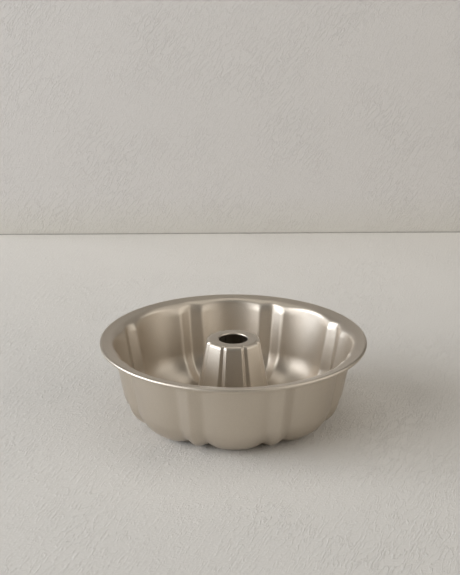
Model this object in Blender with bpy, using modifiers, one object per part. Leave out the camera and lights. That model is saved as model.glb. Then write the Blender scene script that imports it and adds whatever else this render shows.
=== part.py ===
"""Fluted tube pan (bundt pan) with a stiffened rolled rim.

Three sheet-metal and wire pieces stand on the plane z = 0 around the +Z axis:
  fluted_shell  pressed body: fluted wall, rounded floor, flange and rolled rim
  center_tube   fluted hollow tube, locked to the floor's inner collar by a hem
  rim_wire      round wire inside the rolled rim
A wide lobe of the body faces -Y. Lengths are in metres, angles in degrees.
"""
import math

import bmesh
import bpy

PAN = "bundt_pan"

# overall
RIM_DIAMETER = 0.267        # over the rolled rim
RIM_TOP = 0.0825            # height of the rolled rim above the table
SHEET = 0.0008              # sheet thickness
FIT_GAP = 0.0003            # air left between pieces that touch
FLUTES = 8                  # lobes round the body, ribs sit between them
PITCH = 360.0 / FLUTES      # angle from one lobe to the next

# rolled rim and its wire
ROLL_RADIUS = 0.0020        # outside radius of the roll
ROLL_MIDDLE = ROLL_RADIUS - SHEET / 2
ROLL_CENTER_R = RIM_DIAMETER / 2 - ROLL_RADIUS
ROLL_CENTER_Z = RIM_TOP - ROLL_RADIUS
ROLL_ANGLES = (-165, -110, -55, 0, 45, 90)   # from the hidden sheet edge to the top
WIRE_RADIUS = ROLL_MIDDLE - SHEET / 2 - FIT_GAP
WIRE_STEPS = 80
WIRE_SECTION_STEPS = 8

# flange and outer wall, along the middle of a lobe
FLANGE_SLOPE = 12.5         # the flange climbs outwards
FLANGE_BEND = 0.0040        # bend between flange and wall
MOUTH_FADE = 0.0140         # the flutes grow over this much sheet below the flange
WALL_DRAFT = 10.3
WALL_R = 0.1202             # sheet middle at WALL_R_Z
WALL_R_Z = 0.076
BEND_RADIUS = 0.0336        # wall to floor

# flutes of the body
CREASE_ANGLE = 16.3         # crease between lobe and rib, from the lobe's middle
CREASE_DEPTH = 0.0050
RIB_DEPTH = 0.0006          # the rib's ridge stands this far inside the lobes
FOOT_FLAT_ANGLE = 7.0       # half width of the flat foot under each lobe
FOOT_CURVE = 1.6            # how quickly the foot rises towards the crease
SHELL_ANGLES = (0, 6.5, 12.4, 15.4, 17.2, 22.5)

# floor, from the feet inwards to the collar
TROUGH_RADIUS = 0.0260      # floor to tube
SEAM_ANGLE = 40.0           # how far round the trough the seam sits
COLLAR_BEND = 0.0011
COLLAR_DROP = 0.0026

# tube
TUBE_TOP = 0.0813
TUBE_HOLE_R = 0.0146
TUBE_DRAFT = 10.7
TUBE_R = 0.0278             # sheet middle on a ridge at TUBE_R_Z
TUBE_R_Z = 0.0745
TUBE_MIDDLE_Z = 0.048
LIP_BEND = 0.0010
LIP_DROP = 0.0008
SHOULDER_BEND = 0.0022
RIDGE_ANGLE = 16.2          # ridge between facet and groove, from the facet's middle
FACET_DEPTH = 0.034         # middle of a facet, as a share of the tube's radius
GROOVE_DEPTH = 0.062        # bottom of a groove, as a share of the tube's radius
TUBE_ANGLES = (0, 8.0, 15.3, 17.2, 22.5)
HEM_BEND = SHEET + FIT_GAP
HEM_RISE = 0.0016

# rings of the sheet along each bend
FLANGE_STEPS = 3
MOUTH_STEPS = 2             # below that bend, down to where the flutes are full
BEND_STEPS = 5
FADE_STEPS = 3              # floor to seam, where the body's flutes fade out
COLLAR_STEPS = 2
LIP_STEPS = 2
SHOULDER_STEPS = 3
FOOT_STEPS = 2              # where the tube's flutes fade out above the seam
HEM_STEPS = 4

COATING = (0.50, 0.43, 0.34)
WIRE_STEEL = (0.45, 0.45, 0.46)


def sin(degrees):
    return math.sin(math.radians(degrees))


def cos(degrees):
    return math.cos(math.radians(degrees))


def tan(degrees):
    return math.tan(math.radians(degrees))


def blend(a, b, share):
    return a + (b - a) * share


def arc(center, radius, start, end, steps):
    """Points along an arc in the (r, z) plane, both ends included."""
    angles = [blend(start, end, k / steps) for k in range(steps + 1)]
    return [(center[0] + radius * cos(a), center[1] + radius * sin(a)) for a in angles]


def from_lobe(angle):
    """Angle from the middle of the nearest lobe, 0 to half a pitch."""
    return abs((angle + PITCH / 2) % PITCH - PITCH / 2)


def wall_depth(angle):
    """How far the body's wall lies inside its lobes."""
    a = from_lobe(angle)
    if a <= CREASE_ANGLE:
        return CREASE_DEPTH * (a / CREASE_ANGLE) ** 2
    return blend(CREASE_DEPTH, RIB_DEPTH, (a - CREASE_ANGLE) / (PITCH / 2 - CREASE_ANGLE))


def foot_depth(angle):
    """The same under the floor, where each lobe is pressed flat."""
    a = from_lobe(angle)
    if a <= CREASE_ANGLE:
        rise = max(0.0, (a - FOOT_FLAT_ANGLE) / (CREASE_ANGLE - FOOT_FLAT_ANGLE))
        return CREASE_DEPTH * rise ** FOOT_CURVE
    return wall_depth(angle)


def tube_depth(angle):
    """How far the tube's surface lies inside its ridges, as a share of its radius."""
    a = from_lobe(angle)
    if a <= RIDGE_ANGLE:
        return FACET_DEPTH * (1 - (a / RIDGE_ANGLE) ** 2)
    return GROOVE_DEPTH * (a - RIDGE_ANGLE) / (PITCH / 2 - RIDGE_ANGLE)


def all_angles(half):
    """Angles round the piece from the ones given for half a pitch."""
    one = [-a for a in reversed(half[1:-1])] + list(half)
    return [n * PITCH + a for n in range(FLUTES) for a in one]


def row(r, z, inward=(0.0, 0.0), foot=0.0, even=0.0):
    """One ring of the sheet: its place, the way the flutes push it and their shape."""
    return {"r": r, "z": z, "inward": inward, "foot": foot, "even": even}


def wall_r(z):
    return WALL_R - (WALL_R_Z - z) * tan(WALL_DRAFT)


def tube_r(z):
    return TUBE_R + (TUBE_R_Z - z) * tan(TUBE_DRAFT)


def bend_center():
    """Centre of the bend between wall and floor."""
    z = SHEET / 2 + BEND_RADIUS
    return wall_r(z) - BEND_RADIUS / cos(WALL_DRAFT), z


def trough_center():
    """Centre of the bend between floor and tube."""
    z = SHEET / 2 + TROUGH_RADIUS
    return tube_r(z) + TROUGH_RADIUS / cos(TUBE_DRAFT), z


def seam_point():
    """Where shell and tube meet on the trough."""
    r, z = trough_center()
    return r - TROUGH_RADIUS * sin(SEAM_ANGLE), z - TROUGH_RADIUS * cos(SEAM_ANGLE)


def collar_r():
    """Radius of the collar that the floor turns down round the tube."""
    return seam_point()[0] + SHEET


def flange_rows():
    """The bend between flange and wall and the top of the wall, where the flutes grow."""
    top = ROLL_CENTER_Z + ROLL_MIDDLE
    slope = tan(FLANGE_SLOPE)
    draft = tan(WALL_DRAFT)
    # corner where the flange's line meets the wall's line
    corner_z = (top - (ROLL_CENTER_R - WALL_R + WALL_R_Z * draft) * slope) / (1 - slope * draft)
    corner_r = wall_r(corner_z)
    turn = 90 - WALL_DRAFT - FLANGE_SLOPE
    reach = FLANGE_BEND * tan(turn / 2)
    center = (corner_r + reach * cos(FLANGE_SLOPE) + FLANGE_BEND * sin(FLANGE_SLOPE),
              corner_z + reach * sin(FLANGE_SLOPE) - FLANGE_BEND * cos(FLANGE_SLOPE))
    bend = arc(center, FLANGE_BEND, 90 + FLANGE_SLOPE, 180 - WALL_DRAFT, FLANGE_STEPS)
    length = FLANGE_BEND * math.radians(turn)
    path = [(k / FLANGE_STEPS * length, blend(-FLANGE_SLOPE, WALL_DRAFT, k / FLANGE_STEPS), r, z)
            for k, (r, z) in enumerate(bend)]
    for k in range(1, MOUTH_STEPS + 1):
        run = blend(length, MOUTH_FADE, k / MOUTH_STEPS)
        z = bend[-1][1] - (run - length) * cos(WALL_DRAFT)
        path.append((run, WALL_DRAFT, wall_r(z), z))
    rows = []
    for run, tilt, r, z in path:
        grown = 1 - (1 - run / MOUTH_FADE) ** 2
        rows.append(row(r, z, (-cos(tilt) * grown, sin(tilt) * grown)))
    return rows


def shell_rows():
    """The body's sheet middle from the rolled edge to the end of the collar."""
    rows = [row(ROLL_CENTER_R + ROLL_MIDDLE * cos(a), ROLL_CENTER_Z + ROLL_MIDDLE * sin(a), even=1.0)
            for a in ROLL_ANGLES]
    rows += flange_rows()
    # wall to floor: the flutes turn with the sheet and their lobes flatten into feet
    for k, (r, z) in enumerate(arc(bend_center(), BEND_RADIUS, -WALL_DRAFT, -90, BEND_STEPS)):
        share = k / BEND_STEPS
        tilt = blend(WALL_DRAFT, 90, share)
        rows.append(row(r, z, (-cos(tilt), sin(tilt)), foot=share))
    # floor to seam: the flutes fade out
    center = trough_center()
    points = arc(center, TROUGH_RADIUS, -90, -90 - SEAM_ANGLE, FADE_STEPS)
    for k, (r, z) in enumerate(points[:-1]):
        gone = k / FADE_STEPS
        tilt = gone * SEAM_ANGLE
        kept = 1 - gone
        rows.append(row(r, z, (sin(tilt) * kept, cos(tilt) * kept), foot=1.0, even=gone))
    # collar turned down round the tube
    collar = collar_r()
    top = seam_point()[1] + COLLAR_BEND * (1 - cos(SEAM_ANGLE))
    turn = arc((collar + COLLAR_BEND, top - COLLAR_BEND), COLLAR_BEND, 90, 180, COLLAR_STEPS)
    rows += [row(r, z, even=1.0) for r, z in turn]
    rows.append(row(collar, top - COLLAR_BEND - COLLAR_DROP, even=1.0))
    return rows


def tube_rows():
    """The tube's sheet middle from the lip of the hole to the end of the hem."""
    top = TUBE_TOP - SHEET / 2
    lip = TUBE_HOLE_R + SHEET / 2
    rows = [row(lip, top - LIP_BEND - LIP_DROP, even=1.0)]
    turn = arc((lip + LIP_BEND, top - LIP_BEND), LIP_BEND, 180, 90, LIP_STEPS)
    rows += [row(r, z, even=1.0) for r, z in turn]
    # shoulder: the flat top ends in the outline of the flutes
    shoulder_z = top - SHOULDER_BEND
    center = (tube_r(shoulder_z) - SHOULDER_BEND / cos(TUBE_DRAFT), shoulder_z)
    shoulder = arc(center, SHOULDER_BEND, 90, TUBE_DRAFT, SHOULDER_STEPS)
    rows += [row(r, z, (-r, 0.0)) for r, z in shoulder]
    for z in (TUBE_MIDDLE_Z, trough_center()[1] - TROUGH_RADIUS * sin(TUBE_DRAFT)):
        rows.append(row(tube_r(z), z, (-tube_r(z), 0.0)))
    # foot: the flutes fade out above the seam
    foot = arc(trough_center(), TROUGH_RADIUS, 180 + TUBE_DRAFT, 270 - SEAM_ANGLE, FOOT_STEPS)
    for k, (r, z) in enumerate(foot[1:-1], start=1):
        kept = 1 - k / FOOT_STEPS
        rows.append(row(r, z, (-kept * r, 0.0), even=1 - kept))
    # hem: down inside the collar, round its edge and up outside it
    collar = collar_r()
    inside = collar - HEM_BEND
    seam_z = seam_point()[1]
    edge = shell_rows()[-1]["z"]
    rows.append(row(inside - SHEET, seam_z + SHEET, even=1.0))
    rows.append(row(inside, seam_z - SHEET, even=1.0))
    rows += [row(r, z, even=1.0) for r, z in arc((collar, edge), HEM_BEND, 180, 360, HEM_STEPS)]
    rows.append(row(collar + HEM_BEND, edge + HEM_RISE, even=1.0))
    return rows


def material(name, color, roughness):
    made = bpy.data.materials.new(name)
    made.use_nodes = True
    shader = made.node_tree.nodes["Principled BSDF"]
    shader.inputs["Base Color"].default_value = (*color, 1.0)
    shader.inputs["Roughness"].default_value = roughness
    shader.inputs["Metallic"].default_value = 1.0
    return made


def link_only_to(obj, collection):
    for other in obj.users_collection:
        other.objects.unlink(obj)
    collection.objects.link(obj)


def loft(name, rows, half_angles, wall, foot, collection):
    """A sheet through rings of unlike shape, given its thickness by Solidify."""
    angles = all_angles(half_angles)
    step = 360.0 / len(angles)
    middle = len(half_angles) - 2       # the ring's vertex in the first lobe's middle
    mesh = bpy.data.meshes.new(name)
    bm = bmesh.new()
    rings = []
    for one in rows:
        ring = []
        for k, angle in enumerate(angles):
            a = blend(angle, (k - middle) * step, one["even"])
            depth = blend(wall(a), foot(a), one["foot"])
            r = one["r"] + one["inward"][0] * depth
            z = one["z"] + one["inward"][1] * depth
            ring.append(bm.verts.new((r * sin(a), -r * cos(a), z)))
        rings.append(ring)
    for upper, lower in zip(rings, rings[1:]):
        for k in range(len(angles)):
            n = (k + 1) % len(angles)
            bm.faces.new((upper[k], lower[k], lower[n], upper[n]))
    bm.normal_update()
    bm.to_mesh(mesh)
    bm.free()
    obj = bpy.data.objects.new(name, mesh)
    collection.objects.link(obj)
    return obj


def sheet_piece(name, rows, half_angles, wall, foot, collection):
    obj = loft(name, rows, half_angles, wall, foot, collection)
    thick = obj.modifiers.new("sheet", "SOLIDIFY")
    thick.thickness = SHEET
    thick.offset = 0.0
    thick.use_even_offset = True
    thick.use_rim = True
    return obj


def wire_ring(collection):
    bpy.ops.mesh.primitive_torus_add(
        major_segments=WIRE_STEPS, minor_segments=WIRE_SECTION_STEPS,
        major_radius=ROLL_CENTER_R, minor_radius=WIRE_RADIUS,
        location=(0.0, 0.0, ROLL_CENTER_Z))
    obj = bpy.context.active_object
    obj.name = "rim_wire"
    obj.data.name = "rim_wire"
    link_only_to(obj, collection)
    return obj


def main():
    for obj in list(bpy.data.objects):
        bpy.data.objects.remove(obj, do_unlink=True)
    pan = bpy.data.collections.new(PAN)
    bpy.context.scene.collection.children.link(pan)

    shell = sheet_piece("fluted_shell", shell_rows(), SHELL_ANGLES, wall_depth, foot_depth, pan)
    tube = sheet_piece("center_tube", tube_rows(), TUBE_ANGLES, tube_depth, tube_depth, pan)
    wire = wire_ring(pan)

    shell.data.materials.append(material("coated_steel_shell", COATING, 0.34))
    tube.data.materials.append(material("coated_steel_tube", COATING, 0.34))
    wire.data.materials.append(material("plain_steel_wire", WIRE_STEEL, 0.45))
    for obj in (shell, tube, wire):
        obj.data.shade_smooth()


main()
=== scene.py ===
"""Fluted tube pan in champagne non-stick coating on a pale table, soft light from the left."""
import math

import bmesh
import bpy
import numpy as np
from mathutils import Matrix, Vector


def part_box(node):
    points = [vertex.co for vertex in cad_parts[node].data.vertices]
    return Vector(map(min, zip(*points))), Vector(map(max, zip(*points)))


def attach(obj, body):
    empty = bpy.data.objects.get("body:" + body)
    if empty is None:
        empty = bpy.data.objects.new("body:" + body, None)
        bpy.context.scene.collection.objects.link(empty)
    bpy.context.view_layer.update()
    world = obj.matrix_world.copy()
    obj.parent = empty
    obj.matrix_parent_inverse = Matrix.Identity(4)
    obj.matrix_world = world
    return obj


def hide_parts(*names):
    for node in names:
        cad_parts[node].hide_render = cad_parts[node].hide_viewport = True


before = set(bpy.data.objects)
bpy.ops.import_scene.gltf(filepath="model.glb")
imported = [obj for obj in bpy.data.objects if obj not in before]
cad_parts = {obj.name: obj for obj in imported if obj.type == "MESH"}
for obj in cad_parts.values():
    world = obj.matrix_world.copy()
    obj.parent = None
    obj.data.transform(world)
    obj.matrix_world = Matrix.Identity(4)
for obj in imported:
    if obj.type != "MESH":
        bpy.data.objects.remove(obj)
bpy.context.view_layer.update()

# ---------------------------------------------------------------- dimensions, in metres and degrees
# radii and heights are those of the middle of the sheet, except for the rim's, the tube's top and its hole
SHEET = 0.0008              # thickness of both sheets
FLUTES = 8
PITCH = 360.0 / FLUTES

RIM_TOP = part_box("fluted_shell")[1][2]
RIM_RADIUS = 0.1335
ROLL_RADIUS = 0.0020        # outer radius of the curled rim
ROLL_MIDDLE = ROLL_RADIUS - SHEET / 2
ROLL_CENTER = (RIM_RADIUS - ROLL_RADIUS, RIM_TOP - ROLL_RADIUS)
ROLL_START = -165.0         # where the curl's free edge lies

FLANGE_SLOPE = 12.5
FLANGE_BEND = 0.0055        # bend from the flange to the wall
MOUTH_FADE = 0.0140         # length along the sheet over which the flutes grow below the flange
WALL_DRAFT = 10.3
WALL_R = 0.1202             # the wall's radius at the height WALL_R_Z
WALL_R_Z = 0.076
BEND_RADIUS = 0.0336        # bend from the wall to the floor

CREASE_ANGLE = 16.3         # from the middle of a lobe to the crease beside a rib
CREASE_DEPTH = 0.0050
CREASE_FILLET = 0.00045     # depth rounded off in the crease
MOUTH_FILLET = 0.0015       # the same just under the flange
RIB_DEPTH = 0.0006
RIB_FILLET = 0.8            # half width of the rounded ridge, in degrees
RIB_MOUTH_FILLET = 2.6      # the same just under the flange
RIDGE_LIFT = 0.6            # share of a ridge's rounding that is given back, to keep its flanks in place
FOOT_FLAT_ANGLE = 7.0       # half width of a lobe's flat foot
FOOT_CURVE = 1.6            # power by which the sheet rises beside it

TROUGH_RADIUS = 0.0260      # bend from the floor up to the tube
SEAM_ANGLE = 40.0           # how far round that bend the body ends and the tube begins
COLLAR_BEND = 0.0011
COLLAR_DROP = 0.0026

TUBE_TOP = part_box("center_tube")[1][2]
TUBE_HOLE_R = 0.0146
TUBE_DRAFT = 10.7
TUBE_R = 0.0278             # the tube's radius at the height TUBE_R_Z
TUBE_R_Z = 0.0745
LIP_BEND = 0.0010
LIP_DROP = 0.0008
SHOULDER_BEND = 0.0040
RIDGE_ANGLE = 16.2          # from the middle of a facet to the ridge beside a groove
RIDGE_FILLET = 0.006        # this and the two depths are shares of the tube's radius
FACET_DEPTH = 0.034
GROOVE_DEPTH = 0.062
GROOVE_FILLET = 0.8         # half width of the rounded groove, in degrees
HEM_BEND = SHEET + 0.0003
HEM_RISE = 0.0016

# steps that each stretch of a sheet is divided into
ROLL_STEPS = 30
FLANGE_STEPS = 9
MOUTH_STEPS = 14
WALL_STEPS = 30
WALL_CROWDING = 1.3         # above 1, the wall's rings are closer together near the mouth
BEND_STEPS = 32
FLOOR_STEPS = 5
TROUGH_STEPS = 18
COLLAR_STEPS = 8
LIP_STEPS = 8
TOP_STEPS = 5
SHOULDER_STEPS = 10
SIDE_STEPS = 13
TUBE_FOOT_STEPS = 16
HEM_STEPS = 12


def sin(a):
    return math.sin(math.radians(a))


def cos(a):
    return math.cos(math.radians(a))


def tan(a):
    return math.tan(math.radians(a))


def blend(a, b, share):
    return a + (b - a) * share


def ease(share):
    """0 to 1 with soft ends."""
    return share * share * (3 - 2 * share)


def soft_min(a, b, width):
    """The smaller of two curves, with their corner rounded."""
    gap = np.maximum(width - np.abs(a - b), 0.0) / width
    return np.minimum(a, b) - gap * gap * width / 4


def arc(center, radius, start, end, steps):
    return [(center[0] + radius * cos(blend(start, end, k / steps)),
             center[1] + radius * sin(blend(start, end, k / steps))) for k in range(steps + 1)]


# ---------------------------------------------------------------- flutes
def from_lobe(angle):
    """Angle from the middle of the nearest lobe, in degrees."""
    return np.abs((angle + PITCH / 2) % PITCH - PITCH / 2)


def rib_line(a, fillet=RIB_FILLET):
    """Depth of a rib's flanks, rounded at the ridge."""
    slope = (CREASE_DEPTH - RIB_DEPTH) / (PITCH / 2 - CREASE_ANGLE)
    x = PITCH / 2 - a
    return RIB_DEPTH + slope * (np.sqrt(x * x + fillet ** 2) - fillet * RIDGE_LIFT)


def wall_depth(angle, fillet=CREASE_FILLET, ridge=RIB_FILLET):
    """How far the wall lies inside a lobe's middle, in metres."""
    a = from_lobe(angle)
    return soft_min(CREASE_DEPTH * (a / CREASE_ANGLE) ** 2, rib_line(a, ridge), fillet * 4)


def mouth_depth(angle):
    """The same just under the flange, where creases and ridges are softer."""
    return wall_depth(angle, MOUTH_FILLET, RIB_MOUTH_FILLET)


def foot_depth(angle):
    """The same on the floor, where the lobes are pressed flat."""
    a = from_lobe(angle)
    rise = np.maximum(0.0, (a - FOOT_FLAT_ANGLE) / (CREASE_ANGLE - FOOT_FLAT_ANGLE))
    return np.maximum(soft_min(CREASE_DEPTH * rise ** FOOT_CURVE, rib_line(a), CREASE_FILLET * 4), 0.0)


def tube_depth(angle):
    """Depth inside the ridges, as a share of the tube's radius."""
    a = from_lobe(angle)
    facet = FACET_DEPTH * (1 - (a / RIDGE_ANGLE) ** 2)
    x = PITCH / 2 - a
    slope = GROOVE_DEPTH / (PITCH / 2 - RIDGE_ANGLE)
    groove = GROOVE_DEPTH - slope * (np.sqrt(x * x + GROOVE_FILLET ** 2) - GROOVE_FILLET * RIDGE_LIFT)
    return np.maximum(-soft_min(-facet, -groove, RIDGE_FILLET * 2), 0.0)


def round_angles(stops):
    """Angles round the piece: stops are (angle, steps up to it) over half a pitch."""
    half, last = [0.0], 0.0
    for stop, steps in stops:
        half += [blend(last, stop, (k + 1) / steps) for k in range(steps)]
        last = stop
    one = [-a for a in reversed(half[1:-1])] + half
    return np.array([n * PITCH + a for n in range(FLUTES) for a in one])


# the stretches are a lobe or facet, a crease or ridge, a flank, and a rib or groove
SHELL_ANGLES = round_angles([(14.6, 12), (18.8, 11), (21.0, 3), (PITCH / 2, 5)])
TUBE_ANGLES = round_angles([(14.6, 7), (17.6, 8), (21.2, 4), (PITCH / 2, 4)])


# ---------------------------------------------------------------- profiles
def wall_r(z):
    return WALL_R - (WALL_R_Z - z) * tan(WALL_DRAFT)


def tube_r(z):
    return TUBE_R + (TUBE_R_Z - z) * tan(TUBE_DRAFT)


BEND_Z = SHEET / 2 + BEND_RADIUS
BEND_CENTER = (wall_r(BEND_Z) - BEND_RADIUS / cos(WALL_DRAFT), BEND_Z)
TROUGH_Z = SHEET / 2 + TROUGH_RADIUS
TROUGH_CENTER = (tube_r(TROUGH_Z) + TROUGH_RADIUS / cos(TUBE_DRAFT), TROUGH_Z)
SEAM = (TROUGH_CENTER[0] - TROUGH_RADIUS * sin(SEAM_ANGLE),
        TROUGH_CENTER[1] - TROUGH_RADIUS * cos(SEAM_ANGLE))
COLLAR_R = SEAM[0] + SHEET
COLLAR_TOP = SEAM[1] + COLLAR_BEND * (1 - cos(SEAM_ANGLE))
COLLAR_END = COLLAR_TOP - COLLAR_BEND - COLLAR_DROP


def ring(r, z, push=(0.0, 0.0), foot=0.0, mouth=0.0):
    """One ring of the sheet's middle: the flutes move it by push times their depth.

    foot and mouth are the shares of foot_depth and mouth_depth in that depth.
    """
    return (r, z, push[0], push[1], foot, mouth)


def shell_rings():
    """The body's sheet, from the curl's free edge to the foot of the collar."""
    rings = [ring(r, z) for r, z in
             arc(ROLL_CENTER, ROLL_MIDDLE, ROLL_START, 90 + FLANGE_SLOPE, ROLL_STEPS)]
    top_r, top_z = rings[-1][:2]
    slope, draft = tan(FLANGE_SLOPE), tan(WALL_DRAFT)
    corner_z = (top_z - (top_r - WALL_R + WALL_R_Z * draft) * slope) / (1 - slope * draft)
    corner_r = wall_r(corner_z)
    reach = FLANGE_BEND * tan((90 - WALL_DRAFT - FLANGE_SLOPE) / 2)
    start_r, start_z = corner_r + reach * cos(FLANGE_SLOPE), corner_z + reach * sin(FLANGE_SLOPE)
    rings += [ring(blend(top_r, start_r, k / FLANGE_STEPS), blend(top_z, start_z, k / FLANGE_STEPS))
              for k in range(1, FLANGE_STEPS)]
    center = (start_r + FLANGE_BEND * sin(FLANGE_SLOPE), start_z - FLANGE_BEND * cos(FLANGE_SLOPE))
    path = [(r, z, blend(-FLANGE_SLOPE, WALL_DRAFT, k / MOUTH_STEPS)) for k, (r, z) in
            enumerate(arc(center, FLANGE_BEND, 90 + FLANGE_SLOPE, 180 - WALL_DRAFT, MOUTH_STEPS))]
    top_z, low_z = path[-1][1], BEND_Z - BEND_RADIUS * sin(WALL_DRAFT)
    for k in range(1, WALL_STEPS):
        z = blend(top_z, low_z, (k / WALL_STEPS) ** WALL_CROWDING)
        path.append((wall_r(z), z, WALL_DRAFT))
    run, last = 0.0, path[0]
    for r, z, tilt in path:
        run += math.hypot(r - last[0], z - last[1])
        last = (r, z)
        grown = 1 - max(0.0, 1 - run / MOUTH_FADE) ** 2
        rings.append(ring(r, z, (-cos(tilt) * grown, sin(tilt) * grown),
                          mouth=1 - ease(min(1.0, run / MOUTH_FADE))))
    for k, (r, z) in enumerate(arc(BEND_CENTER, BEND_RADIUS, -WALL_DRAFT, -90, BEND_STEPS)):
        tilt = blend(WALL_DRAFT, 90, k / BEND_STEPS)
        rings.append(ring(r, z, (-cos(tilt), sin(tilt)), foot=k / BEND_STEPS))
    for k in range(1, FLOOR_STEPS):
        r = blend(BEND_CENTER[0], TROUGH_CENTER[0], k / FLOOR_STEPS)
        rings.append(ring(r, SHEET / 2, (0.0, 1.0), foot=1.0))
    trough = arc(TROUGH_CENTER, TROUGH_RADIUS, -90, -90 - SEAM_ANGLE, TROUGH_STEPS)
    for k, (r, z) in enumerate(trough[:-1]):
        kept = 1 - ease(k / TROUGH_STEPS)
        tilt = k / TROUGH_STEPS * SEAM_ANGLE
        rings.append(ring(r, z, (sin(tilt) * kept, cos(tilt) * kept), foot=1.0))
    rings += [ring(r, z) for r, z in arc((COLLAR_R + COLLAR_BEND, COLLAR_TOP - COLLAR_BEND),
                                         COLLAR_BEND, 90, 180, COLLAR_STEPS)]
    rings.append(ring(COLLAR_R, COLLAR_END))
    return rings


def tube_rings():
    """The tube's sheet, from the hole's lip over the top and down to the hem."""
    top, lip = TUBE_TOP - SHEET / 2, TUBE_HOLE_R + SHEET / 2
    rings = [ring(lip, top - LIP_BEND - LIP_DROP)]
    rings += [ring(r, z) for r, z in
              arc((lip + LIP_BEND, top - LIP_BEND), LIP_BEND, 180, 90, LIP_STEPS)]
    shoulder_z = top - SHOULDER_BEND
    center = (tube_r(shoulder_z) - SHOULDER_BEND / cos(TUBE_DRAFT), shoulder_z)
    ring_r = rings[-1][0]
    for k in range(1, TOP_STEPS):
        r = blend(ring_r, center[0], k / TOP_STEPS)
        rings.append(ring(r, top, (-ease(k / TOP_STEPS) * r, 0.0)))
    foot = arc(TROUGH_CENTER, TROUGH_RADIUS, 180 + TUBE_DRAFT, 270 - SEAM_ANGLE, TUBE_FOOT_STEPS)
    side = arc(center, SHOULDER_BEND, 90, TUBE_DRAFT, SHOULDER_STEPS)
    heights = np.linspace(side[-1][1], foot[0][1], SIDE_STEPS + 1)
    side += [(tube_r(z), z) for z in heights[1:-1]]
    rings += [ring(r, z, (-r, 0.0)) for r, z in side]
    for k, (r, z) in enumerate(foot[:-1]):
        kept = 1 - ease(k / TUBE_FOOT_STEPS)
        rings.append(ring(r, z, (-kept * r, 0.0)))
    inside = COLLAR_R - HEM_BEND
    # a small turn from the foot's bend down into the hem, which folds round the collar
    rings.append(ring(inside - SHEET, SEAM[1] + SHEET))
    rings.append(ring(inside - SHEET * 0.2, SEAM[1]))
    rings.append(ring(inside, SEAM[1] - SHEET))
    rings += [ring(r, z) for r, z in arc((COLLAR_R, COLLAR_END), HEM_BEND, 180, 360, HEM_STEPS)]
    rings.append(ring(COLLAR_R + HEM_BEND, COLLAR_END + HEM_RISE))
    return rings


def sheet_piece(name, rings, angles, wall, foot, mouth, replaced):
    """A loft through the rings with the sheet's thickness, riding on the pan's body.

    wall, foot and mouth give the depth of the flutes at each angle.
    """
    radians = np.radians(angles)
    around = len(angles)
    wall_d, foot_d, mouth_d = wall(angles), foot(angles), mouth(angles)
    mesh = bpy.data.meshes.new(name)
    bm = bmesh.new()
    rows = []
    for r0, z0, push_r, push_z, foot_share, mouth_share in rings:
        depth = wall_d + (foot_d - wall_d) * foot_share + (mouth_d - wall_d) * mouth_share
        r, z = r0 + push_r * depth, z0 + push_z * depth
        rows.append([bm.verts.new((r[k] * math.sin(radians[k]), -r[k] * math.cos(radians[k]), z[k]))
                     for k in range(around)])
    for upper, lower in zip(rows, rows[1:]):
        for k in range(around):
            n = (k + 1) % around
            bm.faces.new((upper[k], lower[k], lower[n], upper[n]))
    bm.normal_update()
    bm.to_mesh(mesh)
    bm.free()
    mesh.shade_smooth()
    obj = bpy.data.objects.new(name, mesh)
    bpy.context.scene.collection.objects.link(obj)
    thick = obj.modifiers.new("sheet", "SOLIDIFY")
    thick.thickness = SHEET
    thick.offset = 0.0
    thick.use_even_offset = True
    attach(obj, "root")
    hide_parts(replaced)
    return obj


# ---------------------------------------------------------------- materials
COAT_LIGHT = (0.585, 0.513, 0.42)
COAT_DARK = (0.515, 0.448, 0.36)
COAT_SHEEN = (0.78, 0.72, 0.66, 1.0)
WIRE_LIGHT = (0.52, 0.52, 0.53)
WIRE_DARK = (0.36, 0.36, 0.37)
TABLE_LIGHT = (0.725, 0.697, 0.65)
TABLE_DARK = (0.685, 0.657, 0.61)
BACKDROP_LIGHT = (0.675, 0.645, 0.61)
BACKDROP_DARK = (0.645, 0.615, 0.58)
# painted bounce light and shade: a warmer, darker colour for the foot of the backdrop
BACKDROP_PAINTED_BOUNCE = (0.63, 0.60, 0.54)
# painted shade: colours of the dark strip along the corner of table and backdrop
JUNCTION_SHADE_LIGHT = (0.40, 0.38, 0.34)
JUNCTION_SHADE_DARK = (0.38, 0.36, 0.32)
PAINTED_BOUNCE_HEIGHT = 0.06          # the backdrop's painted warm bounce light and shade end this high above the table
MIX_A, MIX_B, MIX_RESULT = 6, 7, 2      # the Mix node's sockets for colours


def new_material(name):
    """A material with its nodes, links and shader."""
    made = bpy.data.materials.new(name)
    made.use_nodes = True
    nodes, links = made.node_tree.nodes, made.node_tree.links
    return made, nodes, links, nodes["Principled BSDF"]


def noise(nodes, links, place, scale, detail=2.0, rough=0.5):
    """Noise from 0 to 1 at a place in the piece's own coordinates."""
    n = nodes.new("ShaderNodeTexNoise")
    n.inputs["Scale"].default_value = scale
    n.inputs["Detail"].default_value = detail
    n.inputs["Roughness"].default_value = rough
    links.new(place, n.inputs["Vector"])
    return n.outputs["Fac"]


def spread(nodes, links, value, low, high, from_low=0.0, from_high=1.0):
    """A value's range from_low..from_high carried over to low..high, and held there."""
    n = nodes.new("ShaderNodeMapRange")
    links.new(value, n.inputs["Value"])
    n.inputs["From Min"].default_value = from_low
    n.inputs["From Max"].default_value = from_high
    n.inputs["To Min"].default_value = low
    n.inputs["To Max"].default_value = high
    return n.outputs["Result"]


def mix_color(nodes, links, share, a, b):
    """Colour a turning into colour b as share goes from 0 to 1; each is a tuple or an output."""
    n = nodes.new("ShaderNodeMix")
    n.data_type = "RGBA"
    links.new(share, n.inputs["Factor"])
    for socket, value in ((n.inputs[MIX_A], a), (n.inputs[MIX_B], b)):
        if isinstance(value, tuple):
            socket.default_value = (*value, 1.0)
        else:
            links.new(value, socket)
    return n.outputs[MIX_RESULT]


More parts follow.
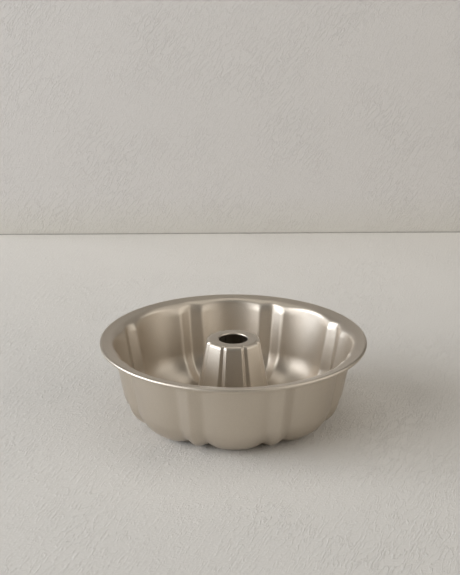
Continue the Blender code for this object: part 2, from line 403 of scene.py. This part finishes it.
def bump(nodes, links, height, distance, strength, normal=None):
    n = nodes.new("ShaderNodeBump")
    n.inputs["Distance"].default_value = distance
    n.inputs["Strength"].default_value = strength
    links.new(height, n.inputs["Height"])
    if normal is not None:
        links.new(normal, n.inputs["Normal"])
    return n.outputs["Normal"]


def champagne(name):
    """Metallic non-stick coating: fine flakes, a faint pebble and slow changes of gloss."""
    made, nodes, links, shader = new_material(name)
    place = nodes.new("ShaderNodeTexCoord").outputs["Object"]
    flakes = noise(nodes, links, place, scale=2600.0, detail=1.0)
    pebble = noise(nodes, links, place, scale=900.0, detail=2.0)
    slow = noise(nodes, links, place, scale=22.0, detail=3.0)
    tone = spread(nodes, links, flakes, low=0.0, high=1.0, from_low=0.35, from_high=0.65)
    links.new(mix_color(nodes, links, tone, COAT_DARK, COAT_LIGHT), shader.inputs["Base Color"])
    gloss = spread(nodes, links, slow, low=0.42, high=0.49, from_low=0.3, from_high=0.7)
    links.new(gloss, shader.inputs["Roughness"])
    shader.inputs["Metallic"].default_value = 0.9
    shader.inputs["Specular Tint"].default_value = COAT_SHEEN
    shader.inputs["Coat Weight"].default_value = 1.0
    shader.inputs["Coat Roughness"].default_value = 0.36
    shader.inputs["Coat IOR"].default_value = 1.8
    wave = bump(nodes, links, slow, distance=0.004, strength=0.10)
    fine = bump(nodes, links, pebble, distance=0.00012, strength=0.25, normal=wave)
    grainy = bump(nodes, links, flakes, distance=0.00006, strength=0.2, normal=fine)
    links.new(grainy, shader.inputs["Normal"])
    return made


def wire_steel(name):
    """Plain drawn wire, hidden inside the curl."""
    made, nodes, links, shader = new_material(name)
    place = nodes.new("ShaderNodeTexCoord").outputs["Object"]
    lines = noise(nodes, links, place, scale=1500.0, detail=3.0)
    links.new(mix_color(nodes, links, lines, WIRE_DARK, WIRE_LIGHT), shader.inputs["Base Color"])
    links.new(spread(nodes, links, lines, low=0.35, high=0.5), shader.inputs["Roughness"])
    shader.inputs["Metallic"].default_value = 1.0
    scored = bump(nodes, links, lines, distance=0.00005, strength=0.3)
    links.new(scored, shader.inputs["Normal"])
    return made


def math_node(nodes, links, operation, a, b=0.0):
    """An operation on a and b, each a float or an output."""
    n = nodes.new("ShaderNodeMath")
    n.operation = operation
    for socket, value in zip(n.inputs, (a, b)):
        if isinstance(value, float):
            socket.default_value = value
        else:
            links.new(value, socket)
    return n.outputs["Value"]


def plaster(name, light, dark, turn, painted_bounce=None):
    """Pale trowelled plaster: fine grain with patches of slanting wrinkles.

    turn is the slant of the wrinkles; the last colour, if given, paints warm bounce light and shade,
    warmer and darker, on the foot of a wall.
    """
    made, nodes, links, shader = new_material(name)
    place = nodes.new("ShaderNodeTexCoord").outputs["Object"]
    slant = nodes.new("ShaderNodeMapping")
    slant.vector_type = "TEXTURE"
    slant.inputs["Rotation"].default_value = turn
    slant.inputs["Scale"].default_value = (4.0, 1.0, 1.0)
    links.new(place, slant.inputs["Vector"])
    grain = noise(nodes, links, place, scale=420.0, detail=2.0, rough=0.6)
    streak = noise(nodes, links, slant.outputs["Vector"], scale=150.0, detail=3.0, rough=0.6)
    patch = noise(nodes, links, place, scale=9.0, detail=2.0)
    cloud = noise(nodes, links, place, scale=2.5, detail=2.0)
    # a wrinkle runs where the streaky noise crosses its middle
    off = math_node(nodes, links, "ABSOLUTE", math_node(nodes, links, "SUBTRACT", streak, 0.5))
    wrinkle = spread(nodes, links, off, low=1.0, high=0.0, from_high=0.04)
    shown = spread(nodes, links, patch, low=0.25, high=1.0, from_low=0.40, from_high=0.75)
    deep = math_node(nodes, links, "MULTIPLY", wrinkle, shown)
    speckle = spread(nodes, links, grain, low=0.0, high=1.0, from_low=0.3, from_high=0.7)
    tint = mix_color(nodes, links, speckle, dark, light)
    tint = mix_color(nodes, links, spread(nodes, links, cloud, low=0.0, high=0.25), tint, light)
    # painted bounce light and shade: the wall's foot turns warmer and darker towards the table
    if painted_bounce:
        height = nodes.new("ShaderNodeSeparateXYZ")
        links.new(place, height.inputs["Vector"])
        painted_bounce_share = spread(nodes, links, height.outputs["Z"], low=1.0, high=0.0, from_high=PAINTED_BOUNCE_HEIGHT)
        tint = mix_color(nodes, links, painted_bounce_share, tint, painted_bounce)
    links.new(tint, shader.inputs["Base Color"])
    shader.inputs["Roughness"].default_value = 0.85
    shader.inputs["Specular IOR Level"].default_value = 0.25
    rough = bump(nodes, links, grain, distance=0.0006, strength=0.6)
    wrinkled = bump(nodes, links, deep, distance=0.0012, strength=0.55, normal=rough)
    links.new(wrinkled, shader.inputs["Normal"])
    return made


# ---------------------------------------------------------------- the pan
shell = sheet_piece("shell_skin", shell_rings(), SHELL_ANGLES,
                    wall_depth, foot_depth, mouth_depth, "fluted_shell")
tube = sheet_piece("tube_skin", tube_rings(), TUBE_ANGLES,
                   tube_depth, tube_depth, tube_depth, "center_tube")
for obj, slot in ((shell, "coated_shell"), (tube, "coated_tube")):
    obj.data.materials.append(champagne(slot))
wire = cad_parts["rim_wire"]
wire.data.materials.clear()
wire.data.materials.append(wire_steel("wire_steel"))

# ---------------------------------------------------------------- table, backdrop and light
TABLE_HALF = 3.0            # half width of the table
TABLE_SLANT = 62.0          # slant of the plaster's wrinkles, in degrees
BACKDROP_Y = 0.66
BACKDROP_HALF = 0.47        # half width, kept narrow so that the pan can be seen from behind
BACKDROP_HIGH = 0.50
BACKDROP_SLANT = -52.0
JUNCTION_SHADE_HIGH = 0.0016           # painted shade: height of the dark strip that stands for the shade along the corner of table and backdrop
JUNCTION_SHADE_Y = BACKDROP_Y - 0.0005


def plane(name, corners, material):
    """A plain face that only dresses the stage."""
    mesh = bpy.data.meshes.new(name)
    mesh.from_pydata(corners, [], [(0, 1, 2, 3)])
    obj = bpy.data.objects.new(name, mesh)
    bpy.context.scene.collection.objects.link(obj)
    obj.data.materials.append(material)


def upright(name, half, y, high, material):
    """A plane that stands on the table and faces the front."""
    plane(name, [(-half, y, 0), (half, y, 0), (half, y, high), (-half, y, high)], material)


plane("table_top", [(-TABLE_HALF, -TABLE_HALF, 0), (TABLE_HALF, -TABLE_HALF, 0),
                    (TABLE_HALF, TABLE_HALF, 0), (-TABLE_HALF, TABLE_HALF, 0)],
      plaster("table_plaster", TABLE_LIGHT, TABLE_DARK, (0, 0, math.radians(TABLE_SLANT))))
upright("backdrop", BACKDROP_HALF, BACKDROP_Y, BACKDROP_HIGH,
        plaster("backdrop_plaster", BACKDROP_LIGHT, BACKDROP_DARK,
                (0, math.radians(BACKDROP_SLANT), 0), painted_bounce=BACKDROP_PAINTED_BOUNCE))
# painted shade: a thin dark strip at the backdrop's foot stands for the shade in the corner with the table
upright("gap", BACKDROP_HALF, JUNCTION_SHADE_Y, JUNCTION_SHADE_HIGH,
        plaster("painted_junction_shade", JUNCTION_SHADE_LIGHT, JUNCTION_SHADE_DARK, (0, 0, 0)))


def soft_light(name, around, up, distance, size, power, color):
    """A soft panel facing the pan.

    around: degrees from the front towards the right. up: degrees above the table.
    distance and size in metres, power in watts.
    """
    data = bpy.data.lights.new(name, "AREA")
    data.color = color
    data.shape = "RECTANGLE"
    data.size, data.size_y = size
    data.energy = power
    obj = bpy.data.objects.new(name, data)
    bpy.context.scene.collection.objects.link(obj)
    direction = Vector((sin(around) * cos(up), -cos(around) * cos(up), sin(up)))
    obj.location = Vector((0, 0, RIM_TOP / 2)) + direction * distance
    obj.rotation_euler = direction.to_track_quat("Z", "Y").to_euler()


DAYLIGHT = (0.985, 1.0, 1.03)
SKY_BLUE = (0.86, 1.0, 1.20)
SOFT_WHITE = (1.0, 0.98, 0.95)
WARM = (1.0, 0.96, 0.90)
CEILING_WHITE = (1.0, 0.955, 0.89)
ROOM_GREY = (0.5, 0.5, 0.5, 1.0)
ROOM_STRENGTH = 0.10
soft_light("window", -76, 21, 3.4, (4.6, 1.9), 106.0, DAYLIGHT)
soft_light("window_core", -89, 12, 3.2, (2.2, 0.8), 27.0, SKY_BLUE)
soft_light("window_top", -80, 44, 2.0, (1.9, 0.6), 4.5, SOFT_WHITE)
soft_light("far_window", 66, 21, 2.6, (4.0, 1.4), 26.0, WARM)
soft_light("far_top", 80, 48, 2.0, (1.6, 0.8), 3.5, WARM)
soft_light("ceiling", 150, 80, 2.0, (2.0, 1.6), 9.5, CEILING_WHITE)

world = bpy.data.worlds.new("studio")
bpy.context.scene.world = world
world.use_nodes = True
room = world.node_tree.nodes["Background"]
room.inputs["Color"].default_value = ROOM_GREY
room.inputs["Strength"].default_value = ROOM_STRENGTH

# ---------------------------------------------------------------- camera
CAMERA_BACK = 1.1434        # metres in front of the pan's axis
CAMERA_SIDE = -0.0033
CAMERA_HEIGHT = 0.5199
CAMERA_DOWN = 18.61         # degrees below level
CAMERA_TURN = -1.15         # degrees round the pan's axis
CAMERA_LENS = 76.35         # focal length in millimetres
camera_data = bpy.data.cameras.new("camera")
camera_data.lens = CAMERA_LENS
camera = bpy.data.objects.new("camera", camera_data)
bpy.context.scene.collection.objects.link(camera)
camera.matrix_world = (Matrix.Rotation(math.radians(CAMERA_TURN), 4, "Z")
                       @ Matrix.Translation((CAMERA_SIDE, -CAMERA_BACK, CAMERA_HEIGHT))
                       @ Matrix.Rotation(math.radians(90 - CAMERA_DOWN), 4, "X"))
bpy.context.scene.camera = camera
bpy.context.scene.view_settings.view_transform = "Standard"
